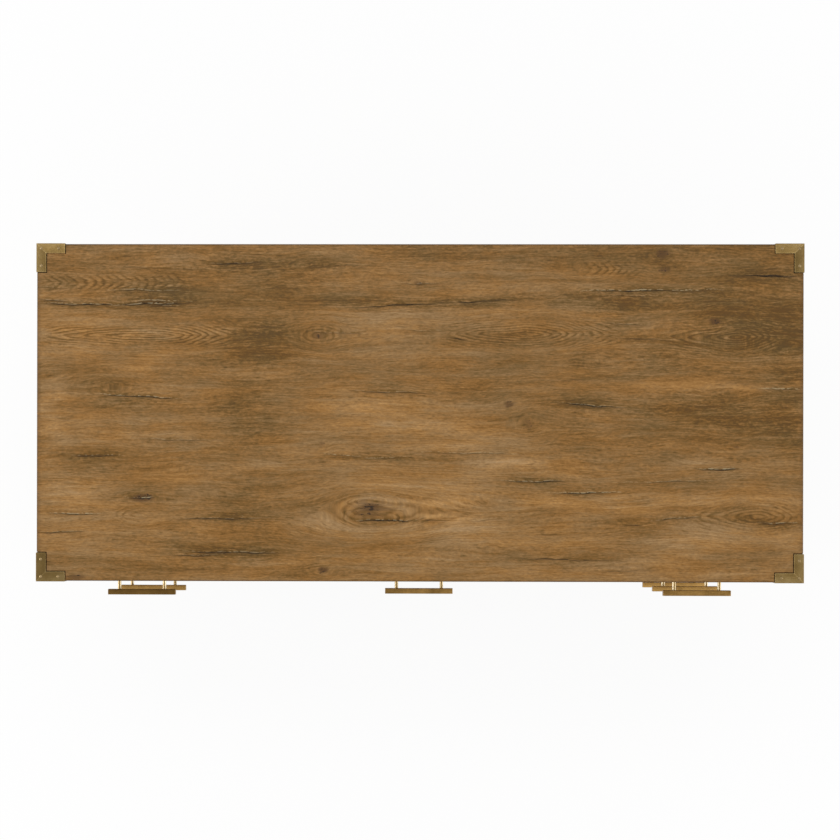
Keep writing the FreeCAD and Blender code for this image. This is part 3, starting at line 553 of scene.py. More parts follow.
deskTopLook = {  # mm, and degrees for sharpFrom
    "easing": 2.0,
    "easingSteps": 6,
    "cellAlong": 10.4,
    "cellAcross": 1.76,
    "lip": 0.05,
    "sharpFrom": 40,
    "crackDepth": 0.7,
    "crackFlat": 1.4,
    "crackSlope": 2.4,
    "knotDish": 0.25,
    "edgeReach": 2.4,
    "edgeBelow": 0.25,
    # grain parts round knots and arches: how far, then reach along and across in their own sizes
    "knotParting": (0.75, 2.6, 2.2),
    "archParting": (0.5, 0.4, 1.6),
    "knotRim": 1.35,
    "archFade": 30,
    "noCrack": 14.0,
    "crackTaper": 0.6,
    "crackPast": 0.1,
    "crackShade": 0.3,
    "shadeReach": 2.6,
    # sine wander: size and length in mm, then its start where that is fixed
    "crackSway": (0.9, 19),
    "crackRipple": (0.6, 8.3),
    "rippleStep": 2.1,
    "patchEnds": ((14, 19, 1.3), (9, 7.7, 0.0)),
    "patchSides": (5, 61, 0.7),
    "patchRipple": (3, 23),
    "rippleSlant": 31,
    # places are mm from the middle of the top
    # knots: place, half length, half width, darkness
    "knots": (
        (-217, 169, 20, 11, 0.56), (0, 282, 10, 7, 0.6), (41, 308, 8, 5, 0.55), (196, 19, 10, 8, 0.95),
        (237, -25, 16, 14, 0.58), (531, 348, 16, 12, 0.86), (536, 315, 16, 9, 0.8), (693, 160, 20, 9, 0.45),
        (645, 201, 14, 9, 0.92), (-606, -187, 27, 9, 1.15), (-110, -213, 58, 24, 0.47),
        (-106, -208, 26, 12, 0.98), (-210, -344, 11, 8, 1.05), (-213, -68, 9, 6, 0.5),
        (689, -73, 8, 6, 0.6), (-753, -362, 24, 7, 0.65), (-670, 56, 14, 7, 0.42),
    ),
    # arches: heart line, half width of the strip, mm for each ring across, pointedness, gain, then where
    # along the heart line each ring count is reached
    "arches": (
        (284, 16, 12.0, 1.1, 0.9, ((-830, 0.6), (-799, 2.2), (-528, 16.2), (-500, 17.5))),
        (169, 20, 5.2, 1.3, 1.3, ((-825, 4.0), (-803, 3.5), (-755, 2.5), (-711, 1.5), (-640, 0.5),
                                  (-591, 0.0), (-561, 0.5), (-519, 1.5), (-501, 2.5), (-484, 3.5),
                                  (-466, 4.5), (-449, 5.5), (-401, 7.5))),
        (169, 22, 6.5, 2.0, 0.6, ((-275, 3.6), (-217, 0.0), (-160, 3.6))),
        (172, 26, 5.0, 1.4, 0.9, ((55, 5.0), (67, 4.5), (135, 2.0), (186, 0.8), (232, 0.0), (273, 1.0),
                                  (306, 2.5), (328, 4.0), (350, 5.5), (389, 7.5), (424, 9.0), (450, 9.8))),
        (166, 28, 4.6, 1.6, 0.9, ((530, 5.6), (551, 5.0), (597, 3.6), (638, 2.6), (667, 1.2), (693, 0.0),
                                  (722, 1.8), (757, 4.5), (790, 7.0))),
        (-226, 32, 6.0, 1.5, 0.7, ((590, 6.0), (601, 5.5), (630, 4.2), (658, 3.2), (684, 2.2), (737, 0.0),
                                   (789, 2.4), (830, 5.0))),
        (315, 15, 10.0, 1.2, 0.7, ((350, 0.3), (400, 3.0), (440, 6.0), (480, 8.5), (515, 10.0))),
        (-224, 15, 7.0, 1.4, 0.6, ((-680, 4.0), (-657, 2.6), (-640, 1.3), (-606, 0.0), (-580, 0.6))),
        (-213, 34, 12.0, 1.6, 0.65, ((-200, 2.9), (-167, 2.0), (-140, 1.0), (-108, 0.0), (-60, 0.9), (0, 1.6),
                                    (67, 2.3), (130, 3.2))),
    ),
    # cracks: both ends, half width, strength, wax left in them with a painted highlight beside them
    "cracks": (
        (-475, 322, -333, 330, 3.4, 1.0, 0.2), (-838, 238, -640, 234, 2.8, 1.0, 0.5),
        (-690, 234, -480, 241, 3.6, 1.05, 0.6), (-690, 268, -520, 266, 2.6, 0.7, 0.5),
        (-160, 229, 60, 241, 2.8, 0.98, 0.1), (30, 240, 236, 248, 2.8, 0.95, 0.1),
        (334, 266, 672, 268, 3.0, 1.0, 0.8), (670, 300, 835, 299, 3.0, 1.0, 0.1),
        (-709, 40, -520, 29, 2.8, 0.95, 0.7), (-169, 48, 43, 41, 2.6, 0.85, 0.3),
        (295, 22, 457, 10, 2.8, 1.0, 0.5), (740, 52, 838, 52, 2.0, 0.6, 0.7),
        (-768, -95, -640, -96, 2.6, 0.88, 0.5), (-216, -91, -120, -97, 2.2, 0.66, 0.6),
        (-130, -103, -16, -96, 2.4, 0.62, 0.4), (595, -123, 708, -123, 2.8, 1.05, 0.9),
        (415, -154, 660, -147, 2.4, 0.66, 0.4), (168, -150, 326, -150, 4.0, 1.05, 0.6),
        (282, -176, 450, -174, 2.8, 0.92, 0.8), (-818, -222, -690, -223, 2.8, 0.92, 0.8),
        (-550, -233, -315, -232, 2.6, 0.88, 0.3), (-428, -226, -386, -226, 3.0, 0.75, 0.1),
        (-838, -263, -725, -262, 3.0, 1.05, 0.4), (-528, -305, -290, -307, 3.8, 1.2, 0.4),
        (-555, -314, -435, -313, 2.6, 0.75, 0.3), (-148, -236, 0, -236, 3.4, 1.1, 0.6),
        (-12, -237, 80, -234, 2.6, 0.75, 0.1), (735, -241, 838, -240, 3.0, 1.0, 0.5),
        (250, -265, 322, -265, 2.6, 0.68, 0.0), (498, -236, 619, -226, 2.4, 0.72, 0.4),
        (160, -316, 455, -324, 2.6, 0.74, 0.0), (-645, -187, -572, -187, 2.4, 1.0, 0.9),
        (-632, 244, -520, 243, 2.4, 0.7, 0.6), (-600, 230, -506, 236, 2.0, 0.6, 0.3),
        (-838, 247, -766, 243, 2.4, 0.72, 0.3), (380, 254, 560, 256, 2.0, 0.45, 0.2),
        (-46, 282, 67, 282, 2.6, 0.72, 0.3), (417, 165, 556, 158, 2.4, 0.66, 0.1),
        (-30, -87, 245, -90, 2.2, 0.62, 0.4), (-836, 273, -766, 273, 2.4, 0.68, 0.2),
        (-628, -57, -449, -63, 2.4, 0.68, 0.3), (-46, 179, 65, 179, 2.4, 0.62, 0.3),
        (52, 164, 110, 159, 2.4, 0.64, 0.0), (393, 196, 512, 192, 2.2, 0.62, 0.2),
        (-628, -344, -350, -342, 2.2, 0.58, 0.0), (-836, -327, -785, -329, 2.4, 0.66, 0.0),
        (-674, 319, -455, 312, 2.2, 0.55, 0.2), (-252, 178, -110, 171, 2.2, 0.52, 0.2),
        (-268, 317, -90, 325, 2.2, 0.56, 0.1), (98, -237, 194, -231, 2.2, 0.58, 0.2),
        (300, 72, 372, 74, 2.2, 0.55, 0.0), (354, -348, 555, -341, 2.2, 0.56, 0.0),
        (435, -246, 504, -246, 2.6, 0.7, 0.1), (-786, -359, -730, -359, 2.4, 0.5, 0.0),
    ),
    # patches: place, reach along, reach across, darker or lighter, greyer or warmer
    "patches": (
        (-400, 325, 90, 20, -0.75, 0.0), (-240, 328, 50, 12, -0.45, 0.0), (-355, 180, 65, 28, -0.85, -0.2),
        (-345, 132, 75, 20, -0.8, 0.2), (-560, 255, 100, 36, -0.5, -0.6), (-790, 300, 60, 30, -0.25, 0.0),
        (110, 243, 170, 12, -0.75, -0.4), (-150, 238, 100, 9, -0.5, 0.0), (440, 246, 110, 26, -0.75, -0.3),
        (530, 342, 32, 26, -0.35, -0.2), (720, 306, 70, 14, -0.6, -0.2), (655, 232, 60, 36, -0.5, -0.2),
        (730, 200, 80, 34, -0.36, 0.0), (800, 150, 40, 120, -0.34, 0.0), (190, 158, 60, 14, -0.4, 0.0),
        (365, 118, 26, 34, -0.4, 0.0), (-690, 55, 60, 24, -0.45, 0.0), (-600, 25, 80, 10, -0.45, 0.0),
        (-385, 30, 60, 40, -0.5, -0.2), (-365, -35, 70, 18, -0.4, 0.0), (-395, -75, 60, 22, -0.3, 0.0),
        (-75, 56, 45, 14, -0.35, 0.0), (120, 58, 75, 20, -0.4, 0.5), (355, 20, 75, 18, -0.6, -0.3),
        (345, -42, 30, 22, -0.4, 0.0), (620, 12, 110, 14, -0.35, 0.3), (730, -20, 110, 30, -0.5, 0.0),
        (805, -20, 36, 80, -0.4, 0.0), (-745, -90, 70, 18, -0.5, 0.3), (-80, -98, 60, 14, -0.35, -0.5),
        (60, -95, 80, 14, -0.3, -0.4), (300, -72, 60, 12, -0.35, 0.0), (250, -150, 65, 14, -0.6, -0.4),
        (345, -172, 50, 12, -0.4, -0.2), (-400, -185, 60, 26, -0.45, 0.0), (-365, -232, 85, 30, -0.45, 0.2),
        (-450, -305, 100, 16, -0.7, 0.0), (-340, -306, 40, 14, -0.5, 0.0), (-255, -345, 70, 16, -0.5, 0.4),
        (480, -245, 50, 30, -0.35, 0.0), (560, -230, 70, 12, -0.3, 0.0), (780, -240, 70, 10, -0.45, 0.0),
        (330, -330, 70, 22, -0.25, -0.4), (-620, -165, 60, 30, -0.25, 0.0), (-740, 205, 70, 14, 0.35, 0.2),
        (-620, 102, 75, 16, 0.55, 0.6), (-560, 172, 160, 14, 0.25, 0.4), (-740, 140, 70, 20, 0.25, 0.0),
        (-805, -20, 28, 110, 0.45, -0.4), (-730, -15, 40, 20, 0.3, 0.2), (-110, 8, 150, 40, 0.32, 0.0),
        (20, -24, 150, 46, 0.36, 0.3), (-80, 185, 90, 34, 0.35, -0.5), (80, 112, 70, 12, 0.25, 0.0),
        (500, 66, 80, 12, 0.3, 0.8), (610, 60, 100, 20, 0.3, 1.3), (710, 56, 50, 10, 0.3, 0.8),
        (110, -62, 50, 10, 0.4, 0.0), (200, -112, 90, 14, 0.45, -0.2), (600, -112, 70, 12, 0.4, -0.4),
        (790, -100, 45, 14, 0.45, -0.4), (60, -190, 80, 14, 0.6, 0.5), (110, -242, 100, 34, 0.6, -0.4),
        (-165, -208, 30, 16, 0.25, 0.6), (300, -200, 70, 14, 0.35, 0.4), (450, -206, 70, 10, 0.4, 0.8),
        (590, -195, 80, 14, 0.5, 0.5), (760, -190, 70, 18, 0.5, 0.4), (640, -270, 100, 22, 0.5, -0.4),
        (560, -305, 70, 20, 0.4, 0.0), (800, -285, 36, 40, 0.4, 0.0), (-190, -245, 60, 20, 0.3, -0.4),
        (-760, -180, 70, 40, 0.35, -0.2), (-330, -105, 60, 10, 0.3, 0.0), (-480, -150, 80, 12, 0.25, 0.3),
        (-100, -160, 120, 16, 0.3, 0.0), (730, 170, 170, 220, -0.36, 0.0), (200, 350, 700, 26, -0.3, 0.0),
        (-700, 290, 200, 70, -0.17, 0.0), (-300, 290, 80, 50, -0.24, 0.0), (530, 130, 130, 60, -0.2, 0.0),
        (610, 0, 120, 60, -0.18, 0.0), (150, -145, 330, 60, 0.22, 0.0), (-760, -290, 90, 70, 0.25, 0.0),
        (20, 145, 200, 60, 0.14, 0.0), (20, -236, 45, 8, -0.5, 0.3), (120, -215, 620, 170, 0.12, 0.0),
        (-300, 290, 150, 50, -0.12, 0.0), (-770, -120, 110, 130, 0.12, 0.0), (-640, 170, 200, 80, -0.08, 0.0),
        (-300, 130, 110, 230, -0.1, 0.0), (540, 80, 130, 150, -0.1, 0.0), (-770, 150, 80, 60, -0.1, 0.0),
    ),
}


def spans(half, cell, breaks):  # even lines across a width, with lines of their own where the shape breaks
    even = np.linspace(-half, half, round(2 * half / cell) + 1)
    marks = np.concatenate([-half + breaks, half - breaks])
    clear = np.abs(even[:, None] - marks[None, :]).min(axis=1) > cell / 3
    return np.unique(np.concatenate([even[clear], marks]))


def hump(x, y, px, py, along, across):  # soft round patch: e to the minus squared distance, in reaches
    return np.exp(-((x - px) / along) ** 2 - ((y - py) / across) ** 2)


def wave(place, size, length, start):  # size times the sine of the place over the length
    return size * np.sin(place / length + start)


def woodFields(x, y, half):
    # everything that the board's figure needs at each point of its face, from the tables above
    look = deskTopLook
    fields = {name: np.zeros_like(x) for name in topFields}
    fields["crackGap"] += look["noCrack"]
    parting, reachAlong, reachAcross = look["knotParting"]
    for px, py, along, across, dark in look["knots"]:  # grain parts round a knot and its heart is dark
        fields["flow"] -= parting * (y - py) * hump(x, y, px, py, reachAlong * along, reachAcross * across)
        distance = np.hypot((x - px) / along, (y - py) / across)
        fields["knot"] = np.maximum(fields["knot"], dark * np.clip(look["knotRim"] - distance, 0, 1))
    parting, reachAlong, reachAcross = look["archParting"]
    for py, strip, gap, point, strength, rungs in look["arches"]:
        # ring count: the count along the heart line and the count across it, joined by a power mean
        places, counts = np.array(rungs, float).T
        across = np.abs(y - py) / gap
        count = (np.interp(x, places, counts) ** point + across ** point) ** (1 / point)
        window = np.clip((x - places[0]) / look["archFade"], 0, 1)
        window = window * np.clip((places[-1] - x) / look["archFade"], 0, 1)
        window = window * np.exp(-(np.abs(y - py) / strip) ** 4)
        inside = window * strength > fields["ringGain"]
        fields["rings"] = np.where(inside, count, fields["rings"])
        fields["ringGain"] = np.where(inside, window * strength, fields["ringGain"])
        reach = reachAlong * np.ptp(places), reachAcross * strip
        fields["flow"] -= parting * (y - py) * hump(x, y, places[counts.argmin()], py, *reach)
    swayX = x + sum(wave(y, *values) for values in look["patchEnds"])
    swayY = y + wave(x, *look["patchSides"]) + wave(x, *look["patchRipple"], y / look["rippleSlant"])
    for px, py, along, across, lift, warmth in look["patches"]:
        patch = hump(swayX, swayY, px, py, along, across)
        fields["lift"] += lift * patch
        fields["warmth"] += warmth * patch
    for number, (x0, y0, x1, y1, width, strength, wax) in enumerate(look["cracks"]):
        # a crack wanders along its line and thins out at both ends: signed mm from it, and its strength there
        share = (x - x0) / (x1 - x0)
        swell = np.sin(np.pi * np.clip(share, 0, 1)) ** look["crackTaper"]
        sway = wave(x, *look["crackSway"], number)
        sway = sway + wave(x, *look["crackRipple"], look["rippleStep"] * number)
        off = y - (y0 + (y1 - y0) * share + sway)
        along = (share > -look["crackPast"]) & (share < 1 + look["crackPast"])
        nearest = along & (np.abs(off) < np.abs(fields["crackGap"]))
        fields["crackGap"] = np.where(nearest, off, fields["crackGap"])
        fields["crack"] = np.where(nearest, strength * swell, fields["crack"])
        # wax and a painted highlight beside the crack
        fields["glint"] = np.where(nearest, wax * swell, fields["glint"])
        shade = np.exp(-(off / (look["shadeReach"] * width)) ** 2)
        fields["lift"] -= look["crackShade"] * strength * swell * shade
    inset = np.minimum(half[0] - np.abs(x), half[1] - np.abs(y))
    fields["edge"] = np.exp(-(inset / look["edgeReach"]) ** 2)
    fields["flow"] *= mm
    return fields


def deskTop(material):
    # face: height over a grid of X and Y lines, less a quarter-round easing at the edges, the bracket pockets
    # and the cracks. Its border is then carried down the edges, ring by ring, and closed underneath
    look = deskTopLook
    plate = bracketLook
    low, high = boxOf("desktop")
    bracketLow, bracketHigh = boxOf("corner_bracket_front_left")
    proud = low[0] - bracketLow[0]
    arm = bracketHigh[0] - bracketLow[0] - proud
    band = plate["band"] - proud
    gap = plate["gap"]
    lip = look["lip"]
    letIn = plate["sheet"] - proud + lip
    middle = (low + high) / 2
    half = (high - low)[:2] / 2
    thick = high[2] - low[2]
    r = look["easing"]
    arc = np.linspace(0, np.pi / 2, look["easingSteps"])
    pocketLines = [line + side for line in (band, band + gap, arm, arm + gap) for side in (-lip, lip)]
    breaks = np.array([*(r - r * np.sin(arc)), *pocketLines])
    xs = spans(half[0], look["cellAlong"], breaks)
    ys = spans(half[1], look["cellAcross"], breaks)
    x, y = np.meshgrid(xs, ys)
    fields = woodFields(x, y, half)

    endX, endY = half[0] - np.abs(x), half[1] - np.abs(y)  # distance in from the two nearest edges
    over = np.minimum(np.hypot(np.clip(r - endX, 0, None), np.clip(r - endY, 0, None)), r)
    drop = r - np.sqrt(r * r - over * over)
    pocket = ((endX < arm + gap) & (endY < band + gap)) | ((endX < band + gap) & (endY < arm + gap))
    seat = ((endX < arm) & (endY < band)) | ((endX < band) & (endY < arm))
    filled = (y > 0) & (endX > band + gap) & (endX < arm)  # wax has filled this gap: shallow, it takes no painted shade
    sunk = np.where(filled, plate["waxDepth"], plate["gapDepth"])
    sunk = np.where(pocket, np.where(seat, letIn, sunk), 0)
    # the open gap beside a bracket takes the crack colour: painted shade in the recess
    fields["crack"] = np.where(pocket & ~seat & ~filled, plate["gapPaintedShade"], fields["crack"])
    fields["crackGap"] = np.where(pocket, 0, fields["crackGap"])
    fields["glint"] = np.where(pocket, 0, fields["glint"])
    wall = np.clip(look["crackFlat"] - np.abs(fields["crackGap"]) / look["crackSlope"], 0, 1)
    groove = look["crackDepth"] * np.clip(fields["crack"] * wall, 0, 1)
    groove = groove + look["knotDish"] * np.clip(fields["knot"], 0, 1)
    z = thick - np.maximum(drop + groove, sunk)

    def drawnIn(side, depth, width, inset):  # the rows near an edge crowd in to leave the edge set back
        return np.sign(side) * (width - depth - inset * np.clip(1 - depth / band, 0, 1))

    faceX = drawnIn(x, endX, half[0], np.where(endY < arm + gap, letIn, 0))
    faceY = drawnIn(y, endY, half[1], np.where(endX < arm + gap, letIn, 0))
    face = np.stack([faceX, faceY, z], axis=2).reshape(-1, 3)

    rows, columns = x.shape
    index = np.arange(rows * columns).reshape(rows, columns)
    border = np.concatenate([index[0], index[1:, -1], index[-1, -2::-1], index[-2:0:-1, 0]])
    bx, by, edgeX, edgeY = (values.ravel()[border] for values in (x, y, endX, endY))
    inPocket = np.maximum(edgeX, edgeY) < arm + gap
    pocketFloor = thick - band - gap
    levels = [(thick - 2 * r - look["edgeReach"], 0), (pocketFloor + lip, 0)]  # set back behind a flange
    pocketed = len(levels)
    levels += [(pocketFloor - lip, 0), *zip(r - r * np.sin(arc), r - r * np.cos(arc))]
    rings = []
    for number, (height, inset) in enumerate(levels):
        inset = inset + np.where(inPocket & (number < pocketed), letIn, 0)
        ringX, ringY = drawnIn(bx, edgeX, half[0], inset), drawnIn(by, edgeY, half[1], inset)
        rings.append(np.stack([ringX, ringY, np.full(len(bx), height)], axis=1))
    points = np.concatenate([face, *rings]) + [middle[0], middle[1], low[2]]
    around = len(border)
    starts = [border] + [len(face) + number * around + np.arange(around) for number in range(len(rings))]
    walls = [np.stack([upper, lower, np.roll(lower, -1), np.roll(upper, -1)], axis=1)
             for upper, lower in zip(starts[:-1], starts[1:])]
    faces = np.concatenate([gridFaces(rows, columns), *walls]).tolist()
    # underneath: strips from front to back, and one face at each end
    front, right, back, left = np.split(starts[-1], np.cumsum([columns, rows - 2, columns]))
    back, left = back[::-1], left[::-1]
    faces += np.stack([front[1:-2], back[1:-2], back[2:-1], front[2:-1]], axis=1).tolist()
    faces.append([front[1], front[0], *left, back[0], back[1]])
    faces.append([back[-2], back[-1], *right[::-1], front[-1], front[-2]])

    piece = makePiece("deskTop", points, faces, [material], "case", ["desktop"],
                      look["sharpFrom"])
    for name, values in fields.items():
        below = np.tile(values.ravel()[border], (len(rings), 1))
        if name in ("knot", "glint"):
            below[:] = 0
        elif name == "edge":
            below[:] = look["edgeBelow"]
        elif name == "crack":  # the painted shade in the gap beside a bracket ends under its flange
            below[pocketed:, inPocket] = 0
        giveField(piece, name, np.concatenate([values.ravel(), below.ravel()]))


# corner brackets and their pins

bracketLook = {  # mm, and degrees for sharpFrom and bevelFrom
    "band": 22.0,
    "gap": 1.6,
    "sheet": 2.4,
    "hip": 1.4,
    "bevel": 0.6,
    "bevelSteps": 3,
    "bevelFrom": 35,
    "sharpFrom": 30,
    "gapDepth": 2.6,
    "gapPaintedShade": 1.1,
    "waxDepth": 0.3,
    "worn": 2.4,
    "edgeRubAndHighlight": 0.42,
    "outerRubAndHighlight": 0.6,
    "creaseRubAndHighlight": 0.34,
}
armPatinaAndReflection = {  # patina and painted reflection: tone of the arm along X and of the arm along Y, each lighter or darker as it faces the light
    "front_left": (-0.04, -0.22),
    "front_right": (-0.06, -0.12),
    "back_left": (-0.05, -0.03),
    "back_right": (-0.10, -0.08),
}


def cornerBracket(corner, name, materials):  # one material for each arm, brushed along it
    # a bent strip: the section (top plate that falls to the outside, flange down the edge) carried along
    # the two outer edges from tip to tip, mitred at the corner, so the two plates meet in a crease. Its rims
    # and the crease are drawn pale over the width worn: partly rubbed wear, partly a painted highlight
    look = bracketLook
    node = "corner_bracket_" + corner
    low, high = boxOf(node)
    long, _, top = high - low
    band, sheet, hip, worn, outer = (look[key] for key in ("band", "sheet", "hip", "worn", "outerRubAndHighlight"))
    slope = hip / (band - sheet)
    section = np.array([(band, top, 1), (band - worn, top - slope * worn, 0), (sheet, top - hip, outer),
                        (0, top - hip, outer), (0, 0, 0), (sheet, 0, 0), (sheet, top - sheet, 0),
                        (band, top - sheet, 0)])  # mm inward, height, rubbing and painted highlight
    inward, height, rim = section.T
    count = len(section)
    tip = np.full(count, long)
    arm = [(tip, inward), (tip - worn, inward), ((tip + band) / 2, inward), (inward + worn, inward)]
    path = [*arm, (inward, inward), *[(b, a) for a, b in arm[::-1]]]
    points = np.concatenate([np.stack([a, b, height], axis=1) for a, b in path])
    alongX, alongY = armPatinaAndReflection[corner]
    stations = np.arange(len(path))
    ends = np.repeat((stations == 0) | (stations == stations[-1]), count)
    crease = np.repeat(stations == len(arm), count) & np.tile(height > 0, len(path))
    rubAndSheen = np.repeat([alongX] * len(arm) + [(alongX + alongY) / 2] + [alongY] * len(arm), count)
    rubAndSheen = rubAndSheen + look["edgeRubAndHighlight"] * np.maximum(ends, np.tile(rim, len(path))) + look["creaseRubAndHighlight"] * crease
    near = np.arange(count)
    faces = tubeFaces(len(path), count).tolist()
    faces += [near.tolist(), (len(points) - count + near[::-1]).tolist()]
    arms = np.repeat([0, 1], len(arm) * count).tolist() + [0, 1]
    atRight, atBack = (low + high)[0] > 0, (low + high)[1] > 0
    points[:, 0] = high[0] - points[:, 0] if atRight else low[0] + points[:, 0]
    points[:, 1] = high[1] - points[:, 1] if atBack else low[1] + points[:, 1]
    points[:, 2] += low[2]
    if atRight != atBack:  # one mirroring turns the faces inside out
        faces = [face[::-1] for face in faces]
    piece = makePiece(name, points, faces, materials, "case", [node], look["sharpFrom"],
                      arms)
    giveField(piece, "rubAndSheen", rubAndSheen)
    bevel = piece.modifiers.new("eased", "BEVEL")
    bevel.width = look["bevel"] * mm
    bevel.segments = look["bevelSteps"]
    bevel.angle_limit = math.radians(look["bevelFrom"])
    bevel.harden_normals = True


pinLook = {"head": 6.6, "rim": 1.3, "sunk": 1.2, "shank": 2.6, "reach": 49.0, "sides": 28, "domeSteps": 7,
           "sharpFrom": 50}


def bracketPins(material):
    # each head is a low dome: height falls with the square of the radius, over a straight shank
    look = pinLook
    low, high = boxOf("corner_bracket_pins")
    head, shank, rim = look["head"] / 2, look["shank"] / 2, look["rim"]
    dome = [(head * s, -rim * s * s) for s in np.sin(np.linspace(0, np.pi / 2, look["domeSteps"])[1:])]
    under = rim + look["sunk"]
    deep = high[2] - low[2]
    profile = [(0, 0), *dome, (head, -under), (shank, -under), (shank, -deep), (0, -deep)]
    pin, faces = turned(profile, look["sides"])
    middle = bracketLook["band"] / 2
    shapes = []
    for depth in ("front", "back"):
        for side in ("left", "right"):
            near, far = boxOf("corner_bracket_" + depth + "_" + side)
            x, inX = (near[0], 1) if side == "left" else (far[0], -1)
            y, inY = (near[1], 1) if depth == "front" else (far[1], -1)
            for a, b in ((middle, middle), (look["reach"], middle), (middle, look["reach"])):
                shapes.append((pin + [x + inX * a, y + inY * b, high[2]], faces))
    points, allFaces = joined(shapes)
    makePiece("bracketPins", points, allFaces, [material], "case", ["corner_bracket_pins"],
              look["sharpFrom"])


# bar pulls

pullLook = {  # mm, and degrees for sharpFrom
    "edge": 0.6,
    "endRound": 0.06,
    "arcSteps": 6,
    "lengths": 8,
    "centres": 101.6,
    "post": 8.0,
    "flare": 0.7,
    "screwHead": 8.0,
    "screwHeight": 2.5,
    "screwShank": 4.0,
    # screw head with its round recess: shares of its radius and of its height
    "screwShares": ((0, 0.45), (0.38, 0.45), (0.42, 1), (0.7, 0.93), (0.9, 0.7), (1, 0.4), (1, 0)),
    "threadDepth": 12.0,
    "sides": 32,
    "sharpFrom": 40,
    "lift": 0.21,
    "postTopPaintedShade": -0.6,
}
barTopPaintedLight = {  # painted light: tone of each bar's upper side, lighter or darker as light falls on each
    "left_top_drawer": -0.25,
    "left_file_drawer": 0.35,
    "centre_drawer": 0.14,
    "right_top_drawer": 0.10,
    "right_middle_drawer": 0.38,
    "right_bottom_drawer": 0.46,
}


def roundedBar(length, size):
    # a square section with rounded corners carried along X, drawn in at both ends by the same quarter round
    look = pullLook
    edge = look["edge"]
    turn = np.linspace(0, np.pi / 2, look["arcSteps"])
    corner = np.concatenate([turn + quarter * np.pi / 2 for quarter in range(4)])
    signs = np.repeat([(1, 1), (-1, 1), (-1, -1), (1, -1)], len(turn), axis=0)
    core = size / 2 - edge
    straight = length / 2 - edge
    flat = np.linspace(-straight, straight, look["lengths"] + 2)[1:-1]
    tips = straight + edge * np.sin(turn)
    along = np.concatenate([-tips[::-1], flat, tips])
    shrink = np.concatenate([np.cos(turn[::-1]), np.ones(len(flat)), np.cos(turn)])
    shrink = edge * np.maximum(shrink, look["endRound"])[:, None]  # the end faces keep a little of the round
    y = core * signs[:, 0] + shrink * np.cos(corner)
    z = core * signs[:, 1] + shrink * np.sin(corner)
    points = np.stack([np.broadcast_to(along[:, None], y.shape), y, z], axis=2).reshape(-1, 3)
    near = np.arange(len(corner))
    faces = tubeFaces(len(along), len(corner))[:, ::-1].tolist()
    return points, faces + [near[::-1].tolist(), (len(points) - len(corner) + near).tolist()]


def barPull(drawer, name, materials):  # one material for the bar, one for the posts and screws
    # bar across two posts that swell by a quarter round at both ends, with pan head screws from inside the
    # drawer
    look = pullLook
    low, high = boxOf(drawer + "_pull")
    face = boxOf(drawer + "_front")[0][1]
    size = high[2] - low[2]
    middle = (low + high) / 2
    bar, barFaces = roundedBar(high[0] - low[0], size)
    shapes = [(bar + [middle[0], low[1] + size / 2, middle[2]], barFaces)]
    length = face - low[1] - size
    r, flare = look["post"] / 2, look["flare"]
    curve = np.linspace(0, np.pi / 2, look["arcSteps"])
    swell = [(r + flare * (1 - np.sin(a)), flare * (1 - np.cos(a))) for a in curve]
    profile = [(0, length), *[(w, length - h) for w, h in swell], *swell[::-1], (0, 0)]
    post, postFaces = turned(profile, look["sides"])
    head, tall, shank = look["screwHead"] / 2, look["screwHeight"], look["screwShank"] / 2
    through = high[1] - tall - face + look["threadDepth"]
    profile = [(head * a, tall * b) for a, b in look["screwShares"]]
    profile += [(shank, 0), (shank, -through), (0, -through)]
    screw, screwFaces = turned(profile, look["sides"])
    for side in (-1, 1):
        x = middle[0] + side * look["centres"] / 2
        shapes.append((facing(post, "front") + [x, face, middle[2]], postFaces))
        shapes.append((facing(screw, "back") + [x, high[1] - tall, middle[2]], screwFaces))
    points, faces = joined(shapes)
    places = np.arange(len(faces)) >= len(barFaces)
    makePiece(name, points, faces, materials, drawer, [drawer + "_pull"], look["sharpFrom"],
              places)


# build the pieces

noisePlace = {  # where each piece starts in the noise, so that no two look alike
    "plateAcross": 2.0, "plateAlong": 4.0, "pins": 11.0, "posts": 3.0, "caps": 8.0, "firstBar": 5.0,
    "barStep": 1.9, "boardStep": 1.7,
}
drawers = [body for body in frame["bodies"] if body.endswith("_drawer")]
deskTop(weatheredOak("weatheredOakTop", carved=True))
print("desktop done")
plates = [antiqueBrass("antiqueBrassPlateAcross", "plate", noisePlace["plateAcross"]),
          antiqueBrass("antiqueBrassPlateAlong", "plate", noisePlace["plateAlong"], brushed="y")]
for corner in armPatinaAndReflection:
    depth, side = corner.title().split("_")
    cornerBracket(corner, "cornerBracket" + depth + side, plates)
bracketPins(antiqueBrass("rubbedBrassPins", "pin", noisePlace["pins"]))
print("brackets done")
lift = pullLook["lift"]
# the posts carry a painted highlight on their flanks and painted shade on their tops
postBrassPaintedHighlight = antiqueBrass("brassPostsPaintedHighlight", "post", noisePlace["posts"], brushed="y",
                         upper=pullLook["postTopPaintedShade"])
for number, drawer in enumerate(drawers):  # each bar's upper side is painted lighter or darker, for how light falls on it
    seed = noisePlace["firstBar"] + noisePlace["barStep"] * number
    brass = antiqueBrass("antiqueBrassBar." + drawer, "bar", seed, lift, upper=barTopPaintedLight[drawer] - lift)
    barPull(drawer, "barPull." + drawer, [brass, postBrassPaintedHighlight])
print("pulls done:", len(drawers))

# the carried-over nodes, by their slot in the record

